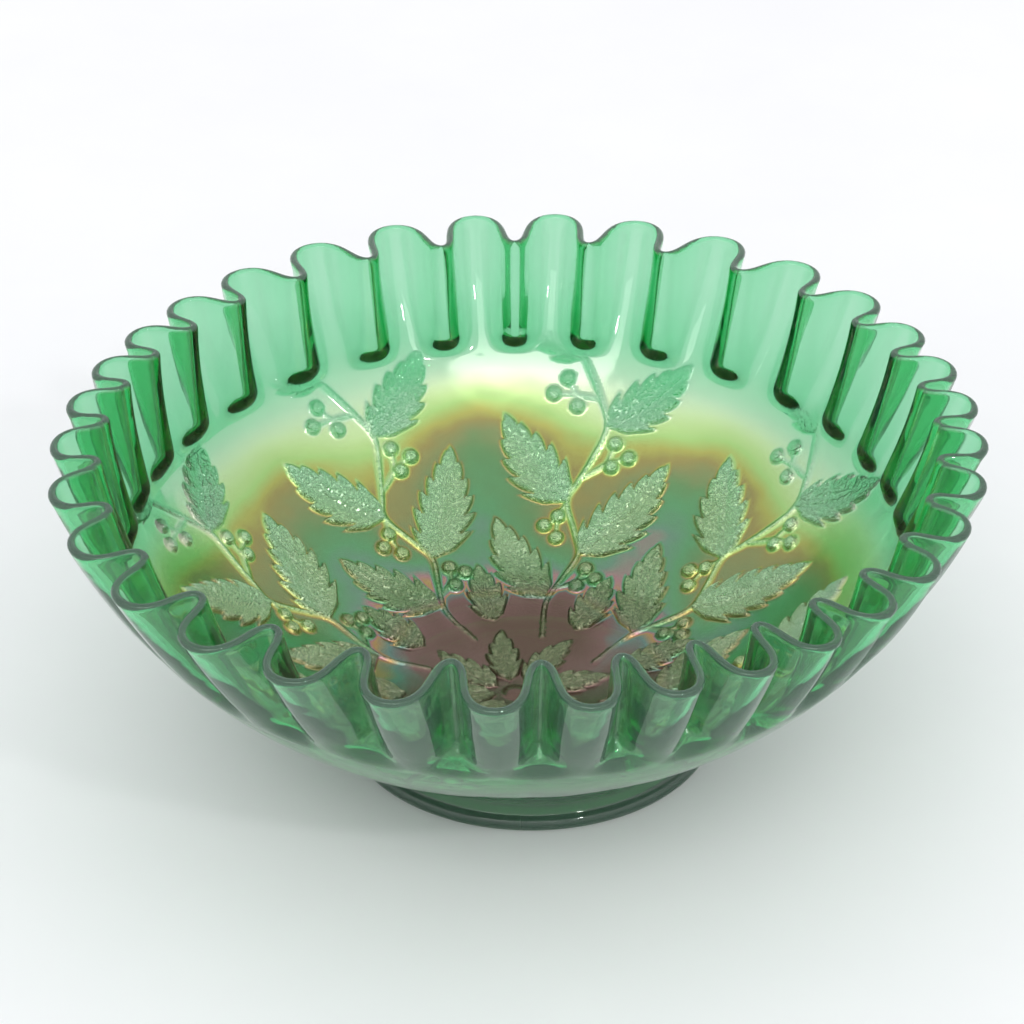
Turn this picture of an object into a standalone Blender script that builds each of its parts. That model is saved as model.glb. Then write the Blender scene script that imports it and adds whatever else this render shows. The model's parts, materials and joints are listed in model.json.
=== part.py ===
"""A carnival glass bowl: one pressed piece of green glass with a collar foot and a tightly crimped edge.

The wall is a thin spherical dish. Its upper band is folded in and out all the way round, as a hot rim
is when it is pressed between crimping tools, and a solid collar foot is moulded under it.
The origin is the middle of the bottom of the object's box, +Z up, in metres.
"""

import math

import bpy
from mathutils import Vector

# The dish, as a sphere through the middle of the wall's thickness.
WALL = 0.0036
DISH_RADIUS = 0.1144
DISH_CENTRE_Z = 0.1211
RIM_ANGLE = math.radians(69.4)  # from straight down, at the tips of the outward folds
SHOULDER_ANGLE = math.radians(51.5)  # where the folds begin

# The folds of the edge.
FOLDS = 33
FOLD_DEPTH = 0.0131  # how far an inward fold stands in from the dish, at the rim
FOLD_DEPTH_WAVE = 0.0030  # deeper than that at the front and back, and shallower at the sides
FOLD_ONSET = 0.50  # below 1, a fold starts with a blunt nose at the shoulder
FOLD_RISE = 0.0008  # an inward fold ends this much higher than an outward one
FOLD_ROUNDING = 0.0009  # sideways bulge that rounds each turn and steepens the sides
FOLD_WIDENING = 0.0015  # makes the outward turns wider than the inward ones
FIRST_FOLD = math.radians(287.0)

# The edge is shaped by hand. Each wave is (times round, size, where it peaks), as angles from +Y
# towards +X, and fades out down to the shoulder.
SQUEEZE_WAVES = (  # of the folds' spacing round the edge, as a shift in radians
    (1, 0.0956, math.radians(40.0)),
    (2, 0.0340, math.radians(60.0)),
    (4, 0.0095, math.radians(-25.0)),
    (5, 0.0110, math.radians(-16.0)),
)
RADIUS_WAVES = (
    (1, 0.0025, math.radians(160.0)),
    (2, 0.0038, math.radians(27.0)),
    (3, 0.0020, math.radians(-13.0)),
)
HEIGHT_WAVES = ((0, 0.0005, 0.0), (1, 0.0024, math.radians(-89.0)), (2, 0.0020, math.radians(67.0)))
STEPS_PER_FOLD = 6

# The collar foot, set a little to one side of the hand-finished dish.
FOOT_RADIUS = 0.0447
FOOT_FLAT = (0.0380, 0.0428)  # inner and outer radius of the ring that it stands on
FOOT_NECK = 0.0415
FOOT_NECK_Z = 0.0100
FOOT_OFFSET = 0.0036
RECESS_RADIUS = 0.0355
RECESS_DEPTH = 0.0030
FOOT_STEPS = 72

GLASS = (0.015, 0.300, 0.130, 1.0)

# Rings of the dish between its middle and the rim, as angles from straight down.
DISH_RINGS = [math.radians(angle) for angle in (0.0, 16.0, 27.0, 36.0, 44.0)]
BAND_RINGS = (0.0, 0.06, 0.22, 0.56, 1.0)  # shares of the way from the shoulder to the rim


def clear_scene():
    for obj in list(bpy.data.objects):
        bpy.data.objects.remove(obj, do_unlink=True)


def new_collection(name):
    collection = bpy.data.collections.new(name)
    bpy.context.scene.collection.children.link(collection)
    return collection


def glass_material(name, colour):
    material = bpy.data.materials.new(name)
    material.use_nodes = True
    shader = material.node_tree.nodes["Principled BSDF"]
    shader.inputs["Base Color"].default_value = colour
    shader.inputs["Roughness"].default_value = 0.05
    shader.inputs["Metallic"].default_value = 0.0
    shader.inputs["Transmission Weight"].default_value = 0.8
    material.diffuse_color = colour
    return material


def turned(name, outline, steps, collection):
    """An object whose open outline, given as (radius, height) pairs from top to bottom, is turned about Z."""
    mesh = bpy.data.meshes.new(name)
    edges = [(i, i + 1) for i in range(len(outline) - 1)]
    mesh.from_pydata([(radius, 0.0, height) for radius, height in outline], edges, [])
    obj = bpy.data.objects.new(name, mesh)
    collection.objects.link(obj)
    screw = obj.modifiers.new("Turn", "SCREW")
    screw.steps = screw.render_steps = steps
    screw.use_merge_vertices = True
    screw.merge_threshold = 0.0001
    return obj


def settled(obj):
    """Replaces an object's mesh with its modified one and drops the modifiers."""
    graph = bpy.context.evaluated_depsgraph_get()
    mesh = bpy.data.meshes.new_from_object(obj.evaluated_get(graph))
    obj.modifiers.clear()
    obj.data = mesh


def wave(waves, turn):
    return sum(size * math.cos(times * (turn - peak)) for times, size, peak in waves)


def fold_phase(turn):
    """The phase of the folds at an angle from +Y towards +X: 0 at an outward turn, pi at an inward one."""
    return FOLDS * (turn - wave(SQUEEZE_WAVES, turn)) + FIRST_FOLD


def crimped(point):
    """Where a point of the plain dish goes when the edge is folded."""
    radius = math.hypot(point.x, point.y)
    angle = math.atan2(radius, DISH_CENTRE_Z - point.z)
    share = (angle - SHOULDER_ANGLE) / (RIM_ANGLE - SHOULDER_ANGLE)
    if share <= 1e-4:
        return point
    turn = math.atan2(point.x, point.y)
    phase = fold_phase(turn)
    inward = (1.0 - math.cos(phase)) / 2.0
    strength = share**FOLD_ONSET
    depth = FOLD_DEPTH + FOLD_DEPTH_WAVE * math.cos(2.0 * turn)
    bulge = FOLD_ROUNDING * math.sin(2.0 * phase) + FOLD_WIDENING * math.sin(phase)
    radius += share * wave(RADIUS_WAVES, turn) - depth * strength * inward
    height = point.z + share * (wave(HEIGHT_WAVES, turn) + FOLD_RISE * inward)
    turn += strength * bulge / radius
    return Vector((radius * math.sin(turn), radius * math.cos(turn), height))


def dish_outline():
    """The middle of the wall from the rim down to the axis."""
    band = [SHOULDER_ANGLE + share * (RIM_ANGLE - SHOULDER_ANGLE) for share in BAND_RINGS]
    angles = DISH_RINGS + band
    return [
        (DISH_RADIUS * math.sin(angle), DISH_CENTRE_Z - DISH_RADIUS * math.cos(angle))
        for angle in reversed(angles)
    ]


def make_bowl(collection):
    bowl = turned("bowl", dish_outline(), FOLDS * STEPS_PER_FOLD, collection)
    settled(bowl)
    for vertex in bowl.data.vertices:
        vertex.co = crimped(vertex.co)
    wall = bowl.modifiers.new("Wall", "SOLIDIFY")
    wall.thickness = WALL
    wall.offset = 0.0
    wall.use_even_offset = True
    return bowl


def make_foot(collection):
    """The solid collar foot, its top buried in the middle of the dish's wall."""
    top_angles = [math.asin(radius / DISH_RADIUS) for radius in (0.0, 0.015, 0.029, FOOT_NECK)]
    top = [
        (DISH_RADIUS * math.sin(angle), DISH_CENTRE_Z - DISH_RADIUS * math.cos(angle)) for angle in top_angles
    ]
    side = [
        (FOOT_NECK, FOOT_NECK_Z),
        (0.5 * (FOOT_NECK + FOOT_RADIUS), 0.62 * FOOT_NECK_Z),
        (FOOT_RADIUS, 0.35 * FOOT_NECK_Z),
        (FOOT_RADIUS - 0.0004, 0.12 * FOOT_NECK_Z),
    ]
    bottom = [(FOOT_FLAT[1], 0.0), (FOOT_FLAT[0], 0.0), (RECESS_RADIUS, RECESS_DEPTH), (0.0, RECESS_DEPTH)]
    foot = turned("collar foot", top + side + bottom, FOOT_STEPS, collection)
    settled(foot)
    foot.location.x = FOOT_OFFSET
    foot.hide_render = True
    foot.display_type = "WIRE"
    return foot


def stand_on_origin(obj, helper):
    """Moves the bowl and its foot so that the middle of the box's bottom is the origin."""
    bpy.context.view_layer.update()
    mesh = obj.evaluated_get(bpy.context.evaluated_depsgraph_get()).data
    for axis in (0, 1):
        values = [vertex.co[axis] for vertex in mesh.vertices]
        middle = (min(values) + max(values)) / 2.0
        obj.location[axis] -= middle
        helper.location[axis] -= middle


def main():
    clear_scene()
    parts = new_collection("carnival_glass_bowl")
    helpers = new_collection("helpers")
    bowl = make_bowl(parts)
    foot = make_foot(helpers)
    stand_on_origin(bowl, foot)
    joined = bowl.modifiers.new("Foot", "BOOLEAN")
    joined.operation = "UNION"
    joined.object = foot
    bowl.data.materials.append(glass_material("green carnival glass", GLASS))
    bowl.data.shade_smooth()
    bowl.data.set_sharp_from_angle(angle=math.radians(35.0))


main()
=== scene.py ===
import json
import math

import bpy
import numpy as np
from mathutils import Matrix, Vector


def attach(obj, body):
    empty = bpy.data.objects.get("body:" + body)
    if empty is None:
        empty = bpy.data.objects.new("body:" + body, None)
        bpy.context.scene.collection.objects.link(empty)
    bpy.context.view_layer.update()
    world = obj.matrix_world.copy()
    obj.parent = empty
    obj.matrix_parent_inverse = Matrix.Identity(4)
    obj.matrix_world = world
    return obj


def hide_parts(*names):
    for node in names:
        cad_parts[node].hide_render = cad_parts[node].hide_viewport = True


# The looks of a carnival glass bowl: one closed glass surface with sprigs of leaves and berries in
# relief on its inside, a folded edge with a fire-polished rim, a collar foot, and an iridescent film.
# Metres, +Z up. Turns are angles from +Y towards +X, and angles of the dish are from straight down.

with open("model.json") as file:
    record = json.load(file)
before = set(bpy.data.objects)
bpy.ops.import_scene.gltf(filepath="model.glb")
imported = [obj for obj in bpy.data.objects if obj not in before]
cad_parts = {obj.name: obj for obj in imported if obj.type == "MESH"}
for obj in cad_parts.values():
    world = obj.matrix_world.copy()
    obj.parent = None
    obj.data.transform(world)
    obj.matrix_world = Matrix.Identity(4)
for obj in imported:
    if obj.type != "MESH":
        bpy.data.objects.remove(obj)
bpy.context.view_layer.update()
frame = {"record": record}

# The dish, as a sphere through the middle of the wall's thickness, as in the CAD part. The wall gets
# thinner towards the rim only here.
DISH_RADIUS = 0.1144
DISH_CENTRE_Z = 0.1211
RIM_ANGLE = math.radians(69.4)
SHOULDER_ANGLE = math.radians(51.5)
WALL = 0.0036  # of the dish
RIM_WALL = 0.0019  # just under the rim
RIM_BEAD = 0.0001  # how much thicker the fire-polished rim is

# The folds of the edge, as in the CAD part except for FOLD_NOSE, which is only here.
FOLDS = 33
FOLD_DEPTH = 0.0131
FOLD_DEPTH_WAVE = 0.0030
FOLD_ONSET = 0.50
FOLD_NOSE = 0.25  # share of the band over which a fold's blunt nose is rounded
FOLD_RISE = 0.0008
FOLD_ROUNDING = 0.0009
FOLD_WIDENING = 0.0015
FIRST_FOLD = math.radians(287.0)
SQUEEZE_WAVES = (
    (1, 0.0956, math.radians(40.0)),
    (2, 0.0340, math.radians(60.0)),
    (4, 0.0095, math.radians(-25.0)),
    (5, 0.0110, math.radians(-16.0)),
)
RADIUS_WAVES = (
    (1, 0.0025, math.radians(160.0)),
    (2, 0.0038, math.radians(27.0)),
    (3, 0.0020, math.radians(-13.0)),
)
HEIGHT_WAVES = ((0, 0.0005, 0.0), (1, 0.0024, math.radians(-89.0)), (2, 0.0020, math.radians(67.0)))

# The collar foot. The record's mount is on the middle of its flat ring, on the -Y side.
FOOT_FLAT = (0.0380, 0.0428)
FOOT_TOP = 0.0106  # where the foot's side leaves the dish
ROLL_RADIUS = 0.0019  # of the rounded band round the bottom of the foot
FOOT_NECK = 0.0415
FOOT_OFFSET = 0.0036
RECESS_RADIUS = 0.0355
RECESS_DEPTH = 0.0030
FOOT_BLEND = 0.0600  # outside this radius the rings of the outside are centred on the dish

# The grid of the surface.
FINE_COLUMNS = FOLDS * 30
COARSE_COLUMNS = FOLDS * 10
FINE_FROM = 0.0280  # the inside has the coarse columns within this radius
RELIEF_STEP = 0.00046
FOLD_STEP = 0.0012

# The relief.
SPRIGS = 8
FIRST_SPRIG = math.radians(15.0)
LEAF_HEIGHT = 0.00095
LEAF_BEVEL = 0.0007
STEM_HEIGHT = 0.00060
STEM_HALF_WIDTH = 0.00072
STALK_HEIGHT = 0.6 * STEM_HEIGHT  # of the stalks that hold the berries
STALK_HALF_WIDTH = 0.00055
STEM_TINT = 0.6  # how far stems and berries take the leaves' colour
BERRY_RADIUS = 0.0020
BERRY_HEIGHT = 0.0015

# How thick the film is, from 0 to 1, by distance from the axis in millimetres.
FILM_LEVELS = (
    (0.0, 1.0), (25.0, 0.95), (34.0, 0.9), (40.0, 0.8), (46.0, 0.7),
    (52.0, 0.63), (60.0, 0.61), (67.0, 0.57), (73.0, 0.5), (76.0, 0.44),
    (79.0, 0.34), (83.0, 0.25), (88.0, 0.13), (94.0, 0.05), (106.0, 0.0),
)

# The camera, as it stood for the photograph.
CAMERA_LENS = 128.8
CAMERA_ELEVATION = math.radians(31.92)
CAMERA_DISTANCE = 0.850

# The light from all round, and the broad bright band of it in front and overhead.
SKY = (0.88, 0.89, 0.91, 1.0)
BRIGHT_SKY = (1.30, 1.30, 1.30, 1.0)

mount = Vector(frame["record"]["mounts"][0]["pos_m"])
foot_centre = Vector((mount.x, mount.y + sum(FOOT_FLAT) / 2.0, 0.0))
dish_centre = foot_centre - Vector((FOOT_OFFSET, 0.0, 0.0))


def smoothstep(low, high, value):
    share = np.clip((value - low) / (high - low), 0.0, 1.0)
    return share * share * (3.0 - 2.0 * share)


def wave(waves, turn):
    return sum(size * np.cos(times * (turn - peak)) for times, size, peak in waves)


def fold_phase(turn):
    """0 at an outward turn of the edge, pi at an inward one."""
    return FOLDS * (turn - wave(SQUEEZE_WAVES, turn)) + FIRST_FOLD


def on_dish(angle, turn, sphere=DISH_RADIUS):
    """Points of the plain dish, from the middle of its sphere."""
    across, along, down = np.sin(angle) * np.sin(turn), np.sin(angle) * np.cos(turn), -np.cos(angle)
    return sphere * np.stack([across, along, down], -1)


def wall_middle(angle, turn):
    """Points in the middle of the wall's thickness, folds and all, relative to the dish's axis."""
    share = np.maximum((angle - SHOULDER_ANGLE) / (RIM_ANGLE - SHOULDER_ANGLE), 0.0)
    phase = fold_phase(turn)
    inward = (1.0 - np.cos(phase)) / 2.0
    strength = share**FOLD_ONSET * smoothstep(0.0, FOLD_NOSE, share)
    depth = FOLD_DEPTH + FOLD_DEPTH_WAVE * np.cos(2.0 * turn)
    bulge = FOLD_ROUNDING * np.sin(2.0 * phase) + FOLD_WIDENING * np.sin(phase)
    radius = DISH_RADIUS * np.sin(angle) + share * wave(RADIUS_WAVES, turn) - depth * strength * inward
    height = DISH_CENTRE_Z - DISH_RADIUS * np.cos(angle)
    height = height + share * (wave(HEIGHT_WAVES, turn) + FOLD_RISE * inward)
    turned = turn + strength * bulge / np.maximum(radius, 0.01)
    return np.stack([radius * np.sin(turned), radius * np.cos(turned), height], -1)


def unit(vectors):
    return vectors / np.linalg.norm(vectors, axis=-1, keepdims=True)


def wall_frame(angle, turn):
    """The wall's middle points, their normals towards the inside, and the directions up the wall."""
    step = 1e-4
    along = wall_middle(angle, turn + step) - wall_middle(angle, turn - step)
    up = wall_middle(angle + step, turn) - wall_middle(np.maximum(angle - step, 0.0), turn)
    normal = unit(np.cross(along, up))
    return wall_middle(angle, turn), normal, unit(np.cross(normal, along))


def wall_thickness(angle):
    thin = smoothstep(SHOULDER_ANGLE - 0.05, RIM_ANGLE - 0.06, angle)
    bead = smoothstep(RIM_ANGLE - 0.035, RIM_ANGLE, angle)
    return WALL + (RIM_WALL - WALL) * thin + RIM_BEAD * bead


# ---------------------------------------------------------------- relief on the inside

# One sprig, as (radius from the axis in millimetres, turn from the sprig's middle in degrees).
STEM = ((22.0, 3.0), (33.0, -1.5), (41.0, 2.0), (48.0, 4.3), (53.5, 1.5), (61.0, -2.5), (66.0, -0.8),
        (71.0, 1.0), (78.0, 2.6), (83.5, 0.3), (90.5, -3.8))
# Leaves: base, tip, half width as a share of length, sideways bend, teeth a side.
LEAVES = (
    ((61.0, -2.5), (79.5, -17.0), 0.265, 0.05, 5),
    ((48.3, 4.4), (73.8, 17.0), 0.245, -0.04, 6),
    ((34.5, -2.2), (56.8, -20.3), 0.245, 0.04, 5),
    ((78.3, 2.6), (92.0, 14.6), 0.265, -0.05, 5),
    ((89.8, -3.6), (97.5, -14.5), 0.230, 0.04, 4),
    ((27.0, 19.0), (44.5, 17.6), 0.290, 0.0, 4),
)
# Clusters: where the stalk leaves the stem, and its berries.
BERRIES = (
    ((66.5, -0.6), ((75.2, 5.0), (72.8, 8.5), (70.3, 5.5))),
    ((61.2, -2.4), ((57.2, -3.9), (54.6, -7.2), (51.7, -3.4))),
    ((37.5, 0.2), ((44.7, 8.4), (42.7, 13.0), (39.6, 7.8))),
    ((83.2, 0.4), ((86.2, -5.8), (83.4, -8.0), (81.4, -3.6))),
)


def relief_point(place, middle_turn):
    """A (millimetres, degrees) place as a point of the plain dish, from the middle of its sphere."""
    radius, turn = place
    return on_dish(np.arcsin(radius / 1000.0 / DISH_RADIUS), middle_turn + math.radians(turn))


def smooth_line(points, samples):
    """Points along a Catmull-Rom curve through the given ones."""
    points = np.array(points)
    padded = np.vstack([2 * points[0] - points[1], points, 2 * points[-1] - points[-2]])
    share = np.linspace(0.0, len(points) - 1.0, samples)
    span = np.minimum(share.astype(int), len(points) - 2)
    t = (share - span)[:, None]
    a, b, c, d = (padded[span + shift] for shift in range(4))
    return 0.5 * (2 * b + (c - a) * t + (2 * a - 5 * b + 4 * c - d) * t**2 + (3 * b - a - 3 * c + d) * t**3)


def distance_to_line(points, line):
    """How far each point is from a polyline."""
    nearest = np.full(len(points), 1.0)
    for start, end in zip(line[:-1], line[1:]):
        run = end - start
        share = np.clip((points - start) @ run / (run @ run), 0.0, 1.0)
        nearest = np.minimum(nearest, np.linalg.norm(points - start - share[:, None] * run, axis=1))
    return nearest


def leaf_relief(points, base, tip, width, bend, teeth):
    """Height of a toothed leaf over the dish, and how far inside its outline each point is."""
    length = np.linalg.norm(tip - base)
    axis = (tip - base) / length
    side = np.cross(-unit(base + tip), axis)
    along = (points - base) @ axis / length
    across = (points - base) @ side - bend * length * 4.0 * along * (1.0 - along)
    share = np.clip(along, 0.0, 1.0)
    off = np.abs(across)
    turned = (share - 0.62 * off / length) * teeth + 0.35 * (across > 0.0)
    tooth = turned - np.floor(turned)
    plain = width * length * np.sin(math.pi * share**0.72) ** 0.85
    notch = 0.34 * (1.0 - tooth) ** 1.4 * smoothstep(0.0, 0.25, share)
    outline = plain * (1.0 - notch) * (0.5 + 0.5 * smoothstep(0.0, 0.12, share))
    past_ends = np.maximum(-along, along - 1.0) * length
    inside = np.where(past_ends > 0.0, -past_ends - off, outline - off)
    body = smoothstep(-0.15 * LEAF_BEVEL, LEAF_BEVEL, inside)
    spread = np.clip(off / np.maximum(plain, 1e-4), 0.0, 1.0)
    quilt = 0.00040 * np.sin(math.pi * tooth) ** 0.7 * smoothstep(0.05, 0.5, spread)
    slit = (tooth - 0.06) * length / teeth
    quilt = quilt - 0.00045 * np.exp(-((slit / 0.00042) ** 2)) * smoothstep(0.25, 0.9, spread)
    rib = 0.00042 * np.exp(-((off / 0.00040) ** 2)) * (1.0 - smoothstep(0.85, 1.0, share))
    valley = -0.00030 * np.exp(-(((off - 0.0010) / 0.0006) ** 2))
    return body * (LEAF_HEIGHT * (0.70 + 0.30 * spread) + quilt + rib + valley), inside


def sprig_relief(points, middle_turn):
    """Height of one sprig over the dish, with how far each point is inside a leaf or on any relief."""
    height = np.zeros(len(points))
    in_leaf = np.full(len(points), -0.05)
    on_any = np.full(len(points), -0.05)
    for base, tip, width, bend, teeth in LEAVES:
        ends = relief_point(base, middle_turn), relief_point(tip, middle_turn)
        leaf, inside = leaf_relief(points, *ends, width, bend, teeth)
        height = np.maximum(height, leaf)
        in_leaf = np.maximum(in_leaf, inside)
    on_any = np.maximum(on_any, in_leaf)
    stem_line = smooth_line([relief_point(place, middle_turn) for place in STEM], 60)
    lines = [(stem_line, STEM_HALF_WIDTH, STEM_HEIGHT)]
    for stalk, berries in BERRIES:
        foot = relief_point(stalk, middle_turn)
        ends = [relief_point(berry, middle_turn) for berry in berries]
        joint = sum(ends) / len(ends)
        for end in ends:
            stalk_line = smooth_line([foot, 0.35 * foot + 0.65 * joint, end], 10)
            lines.append((stalk_line, STALK_HALF_WIDTH, STALK_HEIGHT))
            gap = np.linalg.norm(points - end, axis=1)
            ball = BERRY_HEIGHT * np.sqrt(np.maximum(1.0 - (gap / BERRY_RADIUS) ** 2, 0.0))
            height = np.maximum(height, ball)
            on_any = np.maximum(on_any, BERRY_RADIUS - gap)
    for line, half_width, top in lines:
        gap = distance_to_line(points, line)
        tube = top * np.sqrt(np.maximum(1.0 - (gap / half_width) ** 2, 0.0))
        height = np.maximum(height, tube)
        on_any = np.maximum(on_any, half_width - gap)
    return height, in_leaf, on_any


def relief(angle, turn):
    """Height of the relief at points of the inside, with the distances that sprig_relief gives."""
    angle, turn = np.broadcast_arrays(angle, turn)
    points = on_dish(angle, turn).reshape(-1, 3)
    height = np.zeros(len(points))
    in_leaf = np.full(len(points), -0.05)
    on_any = np.full(len(points), -0.05)
    radius = np.hypot(points[:, 0], points[:, 1])
    flat_turn = turn.reshape(-1)
    for sprig in range(SPRIGS):
        middle = FIRST_SPRIG + sprig * 2.0 * math.pi / SPRIGS
        apart = np.abs((flat_turn - middle + math.pi) % (2.0 * math.pi) - math.pi)
        near = (apart < math.radians(30.0)) & (radius > 0.018) & (radius < 0.104)
        found = sprig_relief(points[near], middle)
        height[near] = np.maximum(height[near], found[0])
        in_leaf[near] = np.maximum(in_leaf[near], found[1])
        on_any[near] = np.maximum(on_any[near], found[2])
    for leaf in range(SPRIGS):
        middle = FIRST_SPRIG + (leaf + 0.35) * 2.0 * math.pi / SPRIGS
        near = radius < 0.030
        ends = relief_point((5.0, 0.0), middle), relief_point((24.0, 6.0), middle)
        found, inside = leaf_relief(points[near], *ends, 0.25, 0.03, 4)
        height[near] = np.maximum(height[near], found)
        in_leaf[near] = np.maximum(in_leaf[near], inside)
        on_any[near] = np.maximum(on_any[near], inside)
    button = np.linalg.norm(points - on_dish(0.0, 0.0), axis=1)
    height = np.maximum(height, 0.0012 * np.sqrt(np.maximum(1.0 - (button / 0.0028) ** 2, 0.0)))
    return height.reshape(angle.shape), in_leaf.reshape(angle.shape), on_any.reshape(angle.shape)


# ---------------------------------------------------------------- the bowl's surface


def ring_angles(start, end, step):
    """Dish angles from start to end, about a step of arc apart, with both ends."""
    count = max(int(math.ceil((end - start) * DISH_RADIUS / step)), 1)
    return np.linspace(start, end, count + 1)


def film_level(angle, turn, on_any):
    """How thick the iridescent film is, from 0 for none to 1 on the floor of the bowl."""
    radius = DISH_RADIUS * np.sin(angle) * 1000.0
    level = np.interp(radius, *zip(*FILM_LEVELS))
    between = np.cos(SPRIGS * (turn - FIRST_SPRIG - math.radians(2.0)))
    level = level - 0.08 * between * smoothstep(40.0, 58.0, radius) * (1.0 - smoothstep(76.0, 90.0, radius))
    wander = 0.03 * np.sin(3.0 * turn + 0.09 * radius) + 0.03 * np.sin(5.0 * turn - 0.06 * radius + 1.3)
    level = level + wander * smoothstep(15.0, 45.0, radius) * (1.0 - smoothstep(74.0, 92.0, radius))
    raised = smoothstep(-0.0012, 0.0004, on_any)
    return np.clip(level * (1.0 - 0.34 * raised * smoothstep(26.0, 50.0, radius)), 0.0, 1.0)


def joined(a, b):
    """Faces between two rings of vertex numbers, where b is as long as a, three times, a third, or 1."""
    if len(b) == 1 or len(a) == 1:
        ring, hub = (b, a) if len(a) == 1 else (a, b)
        corners = np.stack([np.broadcast_to(hub, ring.shape), ring, np.roll(ring, -1)], 1)
        return [corners[:, ::-1] if len(a) == 1 else corners]
    if len(a) == len(b):
        return [np.stack([a, np.roll(a, -1), np.roll(b, -1), b], 1)]
    wide, narrow = (a, b) if len(a) > len(b) else (b, a)
    w = [np.roll(wide, -k)[::3] for k in range(4)]
    n, after = narrow, np.roll(narrow, -1)
    faces = [
        np.stack([w[0], w[1], n], 1),
        np.stack([w[1], w[2], after, n], 1),
        np.stack([w[2], w[3], after], 1),
    ]
    return faces if wide is a else [face[:, ::-1] for face in faces]


class Surface:
    """Rings of points stitched into one closed surface, from the inside's middle round to the foot's."""

    def __init__(self):
        self.points = []
        self.faces = []
        self.values = {"film": [], "leaf": [], "inside": []}
        self.last = None

    def ring(self, points, film=0.0, leaf=0.0, inside=0.0):
        """Adds a ring and joins it to the last one."""
        points = np.atleast_2d(points)
        first = sum(len(ring) for ring in self.points)
        now = np.arange(first, first + len(points))
        self.points.append(points)
        for name, value in (("film", film), ("leaf", leaf), ("inside", inside)):
            self.values[name].append(np.broadcast_to(np.asarray(value, float), (len(points),)))
        if self.last is not None:
            self.faces += joined(self.last, now)
        self.last = now

    def mesh(self, name, shift):
        mesh = bpy.data.meshes.new(name)
        points = np.concatenate(self.points) + shift
        mesh.vertices.add(len(points))
        mesh.vertices.foreach_set("co", points.astype(np.float32).reshape(-1))
        sizes = np.concatenate([np.full(len(faces), faces.shape[1]) for faces in self.faces])
        mesh.loops.add(int(sizes.sum()))
        mesh.loops.foreach_set("vertex_index", np.concatenate([faces.reshape(-1) for faces in self.faces]))
        mesh.polygons.add(len(sizes))
        mesh.polygons.foreach_set("loop_start", np.cumsum(sizes) - sizes)
        mesh.update(calc_edges=True)
        for value_name, values in self.values.items():
            attribute = mesh.attributes.new(value_name, "FLOAT", "POINT")
            attribute.data.foreach_set("value", np.concatenate(values).astype(np.float32))
        mesh.shade_smooth()
        return mesh


def outer_dish_height(place):
    """Height of the outside of the dish at a point given relative to the dish's axis."""
    reach = np.hypot(place[..., 0], place[..., 1])
    return DISH_CENTRE_Z - np.sqrt((DISH_RADIUS + WALL / 2.0) ** 2 - reach**2)


def outside_ring(radius, turn):
    """A ring of the dish's outside whose centre moves over to the foot's as it gets smaller."""
    share = 1.0 - smoothstep(FOOT_NECK, FOOT_BLEND, radius)
    place = np.stack([FOOT_OFFSET * share + radius * np.sin(turn), radius * np.cos(turn)], -1)
    return np.concatenate([place, outer_dish_height(place)[..., None]], -1)


def foot_outline():
    """The foot from its neck down its side, under it and to its middle.

    Each entry is (radius, height, how much it follows the height of the dish above it).
    """
    outline = [(FOOT_NECK + 0.0001, FOOT_TOP + 0.0004, 1.0)]
    roll_turns = np.radians(np.linspace(75.0, -90.0, 12))
    roll = [(FOOT_FLAT[1] + ROLL_RADIUS * math.cos(turn), ROLL_RADIUS * (1.0 + math.sin(turn)))
            for turn in roll_turns]
    first = roll[0]
    for share in np.linspace(0.0, 1.0, 9)[1:-1]:
        radius = FOOT_NECK + (first[0] - FOOT_NECK) * share**2.2
        outline.append((radius, FOOT_TOP + (first[1] - FOOT_TOP) * share, (1.0 - share) ** 2))
    for radius, height in roll:
        outline.append((radius, height, 0.0))
    outline.append((FOOT_FLAT[0] + 0.0006, 0.0, 0.0))
    for share in np.linspace(0.0, 1.0, 7):
        radius = FOOT_FLAT[0] + (RECESS_RADIUS - FOOT_FLAT[0]) * share
        outline.append((radius, RECESS_DEPTH * float(smoothstep(0.0, 1.0, share)), 0.0))
    for radius in (0.030, 0.022, 0.014, 0.006):
        outline.append((radius, RECESS_DEPTH, 0.0))
    return outline


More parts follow.
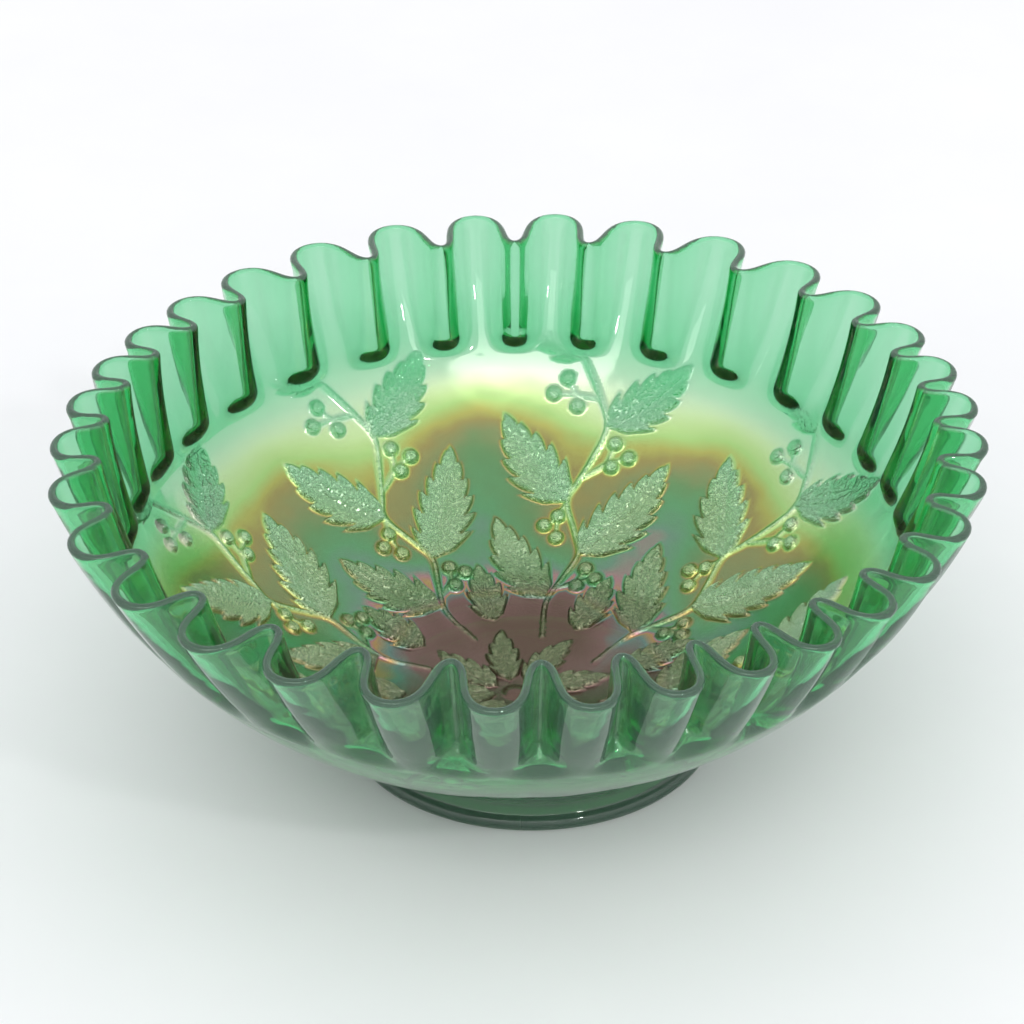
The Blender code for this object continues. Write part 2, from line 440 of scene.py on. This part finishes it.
def bowl_surface():
    surface = Surface()
    turns = {n: np.arange(n) * 2.0 * math.pi / n for n in (COARSE_COLUMNS, FINE_COLUMNS)}
    fine_angle = math.asin(FINE_FROM / DISH_RADIUS)
    top_of_relief = math.asin(0.0985 / DISH_RADIUS)
    angles = np.concatenate([
        ring_angles(0.0, fine_angle, RELIEF_STEP)[1:],
        ring_angles(fine_angle, top_of_relief, RELIEF_STEP)[1:],
        ring_angles(top_of_relief, RIM_ANGLE, FOLD_STEP)[1:],
    ])
    middle_height = relief(np.zeros(1), np.zeros(1))[0][0]
    centre = np.array([0.0, 0.0, DISH_CENTRE_Z - DISH_RADIUS + WALL / 2.0 + middle_height])
    surface.ring(centre, film=1.0, leaf=0.0, inside=1.0)
    rings = [turns[COARSE_COLUMNS if angle < fine_angle - 1e-6 else FINE_COLUMNS] for angle in angles]
    ends = np.cumsum([len(turn) for turn in rings])[:-1]
    flat_angle = np.concatenate([np.full(len(turn), angle) for angle, turn in zip(angles, rings)])
    flat_turn = np.concatenate(rings)
    height, in_leaf, on_any = relief(flat_angle, flat_turn)
    below_folds = 1.0 - smoothstep(SHOULDER_ANGLE - 0.01, SHOULDER_ANGLE + 0.07, flat_angle)
    height = height * below_folds
    middle, normal, _ = wall_frame(flat_angle, flat_turn)
    points = middle + normal * (wall_thickness(flat_angle) / 2.0 + height)[:, None]
    film = film_level(flat_angle, flat_turn, on_any)
    in_stem_or_berry = STEM_TINT * smoothstep(0.0, 0.0008, on_any)
    leaf = np.maximum(smoothstep(0.0, LEAF_BEVEL, in_leaf), in_stem_or_berry) * below_folds
    for parts in zip(np.split(points, ends), np.split(film, ends), np.split(leaf, ends)):
        surface.ring(*parts, inside=1.0)
    turn = turns[FINE_COLUMNS]
    middle, normal, up = wall_frame(RIM_ANGLE, turn)
    half = wall_thickness(RIM_ANGLE) / 2.0
    for swing in np.linspace(0.0, math.pi, 10)[1:-1]:
        surface.ring(middle + half * (math.cos(swing) * normal + math.sin(swing) * up))
    turn = turns[COARSE_COLUMNS]
    blend_angle = math.asin(FOOT_BLEND / (DISH_RADIUS + WALL / 2.0))
    down = np.concatenate([
        ring_angles(SHOULDER_ANGLE - 0.05, RIM_ANGLE, FOLD_STEP)[::-1],
        ring_angles(blend_angle, SHOULDER_ANGLE - 0.05, 0.0022)[::-1][1:],
    ])
    for angle in down:
        columns = turns[FINE_COLUMNS] if angle == RIM_ANGLE else turn
        middle, normal, _ = wall_frame(angle, columns)
        surface.ring(middle - normal * wall_thickness(angle) / 2.0)
    for radius in np.linspace(FOOT_BLEND, FOOT_NECK + 0.0008, 9)[1:]:
        surface.ring(outside_ring(radius, turn))
    junction = outside_ring(FOOT_NECK, turn)[:, 2]
    for radius, height, share in foot_outline():
        across, along = FOOT_OFFSET + radius * np.sin(turn), radius * np.cos(turn)
        place = np.stack([across, along, np.full_like(turn, height)], -1)
        place[:, 2] += share * (junction - FOOT_TOP - 0.0010)
        surface.ring(place)
    surface.ring(np.array([FOOT_OFFSET, 0.0, RECESS_DEPTH]))
    return surface


def make_bowl():
    mesh = bowl_surface().mesh("carnival_bowl", np.array([dish_centre.x, dish_centre.y, 0.0]))
    bowl = bpy.data.objects.new("carnival_bowl", mesh)
    bpy.context.scene.collection.objects.link(bowl)
    return bowl


# ---------------------------------------------------------------- materials


class Nodes:
    """A short way to write a material's nodes."""

    def __init__(self, name):
        self.material = bpy.data.materials.new(name)
        self.material.use_nodes = True
        self.tree = self.material.node_tree
        self.shader = self.tree.nodes["Principled BSDF"]
        self.output = self.tree.nodes["Material Output"]

    def add(self, kind, inputs=(), **settings):
        node = self.tree.nodes.new("ShaderNode" + kind)
        for name, value in settings.items():
            setattr(node, name, value)
        for socket, value in dict(inputs).items():
            self.put(node.inputs[socket], value)
        return node

    def put(self, socket, value):
        if isinstance(value, bpy.types.NodeSocket):
            self.tree.links.new(value, socket)
        else:
            socket.default_value = value

    def attribute(self, name):
        return self.add("Attribute", attribute_name=name).outputs["Fac"]

    def math(self, operation, a, b=0.0, clamp=False):
        node = self.add("Math", operation=operation, use_clamp=clamp)
        self.put(node.inputs[0], a)
        self.put(node.inputs[1], b)
        return node.outputs["Value"]

    def noise(self, scale, detail=2.0, roughness=0.5):
        node = self.add("TexNoise", {"Scale": scale, "Detail": detail, "Roughness": roughness})
        self.put(node.inputs["Vector"], self.add("TexCoord").outputs["Object"])
        return node.outputs["Fac"]

    def between(self, value, low, high, to_low=0.0, to_high=1.0):
        inputs = {"Value": value, "From Min": low, "From Max": high, "To Min": to_low, "To Max": to_high}
        return self.add("MapRange", inputs, interpolation_type="SMOOTHSTEP").outputs["Result"]

    def mix(self, share, a, b):
        node = self.add("Mix", data_type="RGBA")
        self.put(node.inputs["Factor"], share)
        self.put(node.inputs[6], a)
        self.put(node.inputs[7], b)
        return node.outputs[2]

    def ramp(self, value, stops):
        node = self.add("ValToRGB", {"Fac": value})
        elements = node.color_ramp.elements
        while len(elements) > 1:
            elements.remove(elements[-1])
        elements[0].position, elements[0].color = stops[0][0], (*stops[0][1], 1.0)
        for position, colour in stops[1:]:
            elements.new(position).color = (*colour, 1.0)
        return node.outputs["Color"]


def linear(red, green, blue):
    """A display colour, each channel from 11 to 255, as a linear one."""
    shares = [channel / 255.0 for channel in (red, green, blue)]
    return tuple(((share + 0.055) / 1.055) ** 2.4 for share in shares)


# Tints of the glass where there is no film, once for each surface crossed.
INSIDE_TINT = (1.0, 0.92, 0.88, 1.0)
OUTSIDE_TINT = (0.50, 0.92, 0.66, 1.0)
OUTSIDE_CLEARNESS = 0.91  # the rest scatters, as on slightly cloudy glass

# The film's colours as it gets thicker, from the clear edge to the floor.
FILM_COLOURS = (
    (0.00, linear(230, 248, 236)),
    (0.12, linear(236, 240, 208)),
    (0.22, linear(222, 234, 172)),
    (0.34, linear(184, 212, 132)),
    (0.42, linear(190, 178, 96)),
    (0.47, linear(172, 148, 92)),
    (0.53, linear(150, 148, 102)),
    (0.60, linear(118, 152, 104)),
    (0.67, linear(110, 162, 116)),
    (0.73, linear(124, 154, 134)),
    (0.78, linear(184, 134, 140)),
    (0.82, linear(190, 154, 98)),
    (0.86, linear(114, 148, 138)),
    (0.91, linear(136, 106, 100)),
    (1.00, linear(112, 90, 76)),
)


def carnival_glass():
    n = Nodes("carnival_glass")
    film, leaf, inside = (n.attribute(name) for name in ("film", "leaf", "inside"))
    blotches = n.math("SUBTRACT", n.noise(34.0, 3.0, 0.55), 0.5)
    blotches = n.math("MULTIPLY", blotches, n.between(film, 0.1, 0.6, 0.0, 0.35))
    level = n.math("ADD", film, blotches, clamp=True)
    colour = n.ramp(level, FILM_COLOURS)
    leaf_colour = n.ramp(film, ((0.0, linear(225, 244, 228)), (0.30, linear(216, 240, 220)),
                                (0.42, linear(220, 236, 202)), (0.60, linear(180, 186, 150))))
    colour = n.mix(n.math("MULTIPLY", leaf, 0.8), colour, leaf_colour)
    presence = n.math("MULTIPLY", inside, n.between(level, 0.0, 0.30))
    n.put(n.shader.inputs["Base Color"], n.mix(presence, n.mix(inside, OUTSIDE_TINT, INSIDE_TINT), colour))
    strength = n.math("MULTIPLY", n.between(level, 0.0, 0.35, 0.0, 0.62), inside)
    strength = n.math("MULTIPLY", strength, n.between(leaf, 0.0, 1.0, 1.0, 0.85))
    n.put(n.shader.inputs["Metallic"], strength)
    n.put(n.shader.inputs["Roughness"], n.between(presence, 0.0, 1.0, 0.03, 0.20))
    n.put(n.shader.inputs["IOR"], 1.52)
    clearness = n.math("MULTIPLY", n.between(presence, 0.0, 1.0, 1.0, 0.72),
                       n.between(inside, 0.0, 1.0, OUTSIDE_CLEARNESS, 1.0))
    n.put(n.shader.inputs["Transmission Weight"], clearness)
    grains = n.between(n.noise(1400.0, 2.0, 0.6), 0.35, 0.75)
    ripple = n.noise(55.0, 2.0)
    bumps = n.math("ADD", n.math("MULTIPLY", grains, n.math("MULTIPLY", leaf, 0.00045)),
                   n.math("MULTIPLY", ripple, 0.0004))
    bump = n.add("Bump", {"Height": bumps, "Distance": 1.0, "Strength": 1.0})
    n.put(n.shader.inputs["Normal"], bump.outputs["Normal"])
    absorb = n.add("VolumeAbsorption", {"Color": (0.20, 0.84, 0.53, 1.0), "Density": 400.0})
    n.tree.links.new(absorb.outputs["Volume"], n.output.inputs["Volume"])
    return n.material


def pale_floor():
    n = Nodes("pale_floor")
    tone = n.mix(n.noise(9.0, 4.0, 0.6), (*linear(236, 236, 238), 1.0), (*linear(246, 246, 247), 1.0))
    n.put(n.shader.inputs["Base Color"], tone)
    n.put(n.shader.inputs["Roughness"], 0.6)
    n.put(n.shader.inputs["Specular IOR Level"], 0.2)
    return n.material


# ---------------------------------------------------------------- stage, light and camera


def make_floor():
    mesh = bpy.data.meshes.new("floor")
    half = 4.0
    corners = [(-half, -half, 0.0), (half, -half, 0.0), (half, half, 0.0), (-half, half, 0.0)]
    mesh.from_pydata(corners, [], [(0, 1, 2, 3)])
    floor = bpy.data.objects.new("floor", mesh)
    bpy.context.scene.collection.objects.link(floor)
    mesh.materials.append(pale_floor())


def aim(obj, target):
    obj.rotation_euler = (Vector(target) - obj.location).to_track_quat("-Z", "Y").to_euler()


def area_light(name, place, size, power):
    light = bpy.data.lights.new(name, "AREA")
    light.shape = "RECTANGLE"
    light.size, light.size_y = size
    light.energy = power
    lamp = bpy.data.objects.new(name, light)
    bpy.context.scene.collection.objects.link(lamp)
    lamp.location = place
    aim(lamp, (0.0, 0.0, 0.04))


def make_lights():
    world = bpy.data.worlds.new("studio")
    bpy.context.scene.world = world
    world.use_nodes = True
    tree = world.node_tree
    background = tree.nodes["Background"]
    direction = tree.nodes.new("ShaderNodeTexCoord").outputs["Generated"]
    split = tree.nodes.new("ShaderNodeSeparateXYZ")
    tree.links.new(direction, split.inputs[0])
    shares = []
    for axis, low, high in (("Z", 0.20, 0.50), ("Z", 0.97, 0.75), ("Y", 0.25, -0.45)):
        share = tree.nodes.new("ShaderNodeMapRange")
        share.interpolation_type = "SMOOTHSTEP"
        share.inputs["From Min"].default_value = low
        share.inputs["From Max"].default_value = high
        tree.links.new(split.outputs[axis], share.inputs["Value"])
        shares.append(share.outputs["Result"])
    bright = shares[0]
    for share in shares[1:]:
        both = tree.nodes.new("ShaderNodeMath")
        both.operation = "MULTIPLY"
        tree.links.new(bright, both.inputs[0])
        tree.links.new(share, both.inputs[1])
        bright = both.outputs[0]
    mix = tree.nodes.new("ShaderNodeMix")
    mix.data_type = "RGBA"
    mix.inputs[6].default_value = SKY
    mix.inputs[7].default_value = BRIGHT_SKY
    tree.links.new(bright, mix.inputs["Factor"])
    tree.links.new(mix.outputs[2], background.inputs["Color"])
    area_light("window", (-0.3, -2.2, 2.4), (2.2, 1.2), 16.0)
    area_light("sparkle", (0.8, -1.3, 1.3), (0.12, 0.12), 4.0)


def make_camera():
    camera_data = bpy.data.cameras.new("camera")
    camera_data.lens = CAMERA_LENS
    camera_data.sensor_width = 36.0
    camera = bpy.data.objects.new("camera", camera_data)
    bpy.context.scene.collection.objects.link(camera)
    target = Vector((dish_centre.x - 0.00074, dish_centre.y, 0.05945))
    elevation = CAMERA_ELEVATION
    camera.location = target + CAMERA_DISTANCE * Vector((0.0, -math.cos(elevation), math.sin(elevation)))
    aim(camera, target)
    bpy.context.scene.camera = camera


bowl = make_bowl()
bowl.data.materials.append(carnival_glass())
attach(bowl, "root")
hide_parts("bowl")

make_floor()
make_lights()
make_camera()
bpy.context.scene.cycles.transmission_bounces = 20
bpy.context.scene.cycles.max_bounces = 24
bpy.context.scene.view_settings.view_transform = "Standard"
